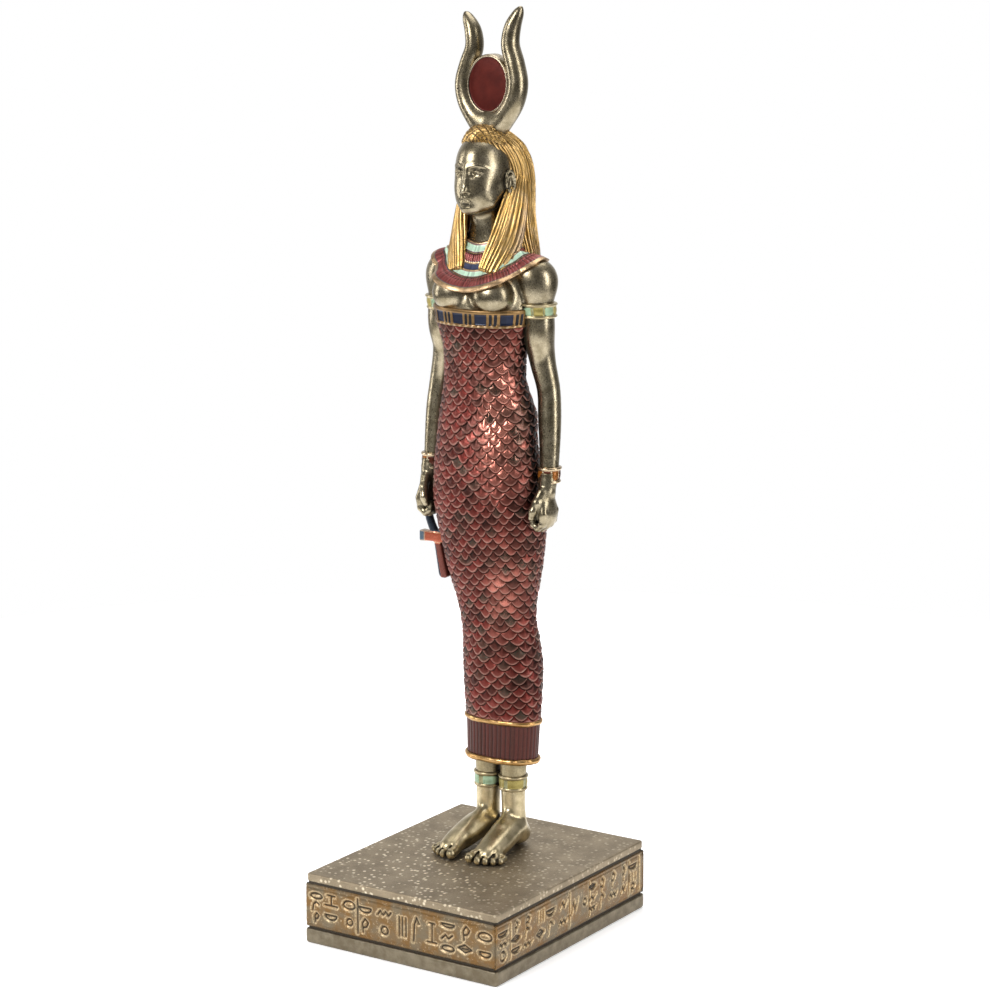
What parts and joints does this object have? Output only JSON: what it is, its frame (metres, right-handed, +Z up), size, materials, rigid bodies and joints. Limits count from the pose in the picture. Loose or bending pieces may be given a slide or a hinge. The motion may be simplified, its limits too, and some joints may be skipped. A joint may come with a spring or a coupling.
{
  "type": "hathor statue",
  "caption": "Table-top cast statuette of a standing goddess with cow horns, a sun disc, a broad collar and a tight scale dress, on an inscribed rectangular plinth.",
  "frame": {"origin": "middle of the plinth's underside", "axes": "+Z up; the figure faces -Y, so its left hand is on the +X side; the plinth's longer side runs along Y"},
  "size_m": [0.0716, 0.0864, 0.2877],
  "materials": {
    "bronze": "antique champagne bronze, satin, dark in the hollows",
    "plinth_bronze": "antique bronze, speckled on top, golden brown wash on the band",
    "gold": "antique gold paint, brown in the grooves",
    "red_scales": "metallic maroon paint, rims dry-brushed pale pink",
    "red_disc": "dark red enamel, satin",
    "enamel": "turquoise, maroon, navy and amber enamel bands with gold edges"
  },
  "bodies": {
    "root": {"figure": "bronze", "plinth": "plinth_bronze"}
  },
  "joints": []
}
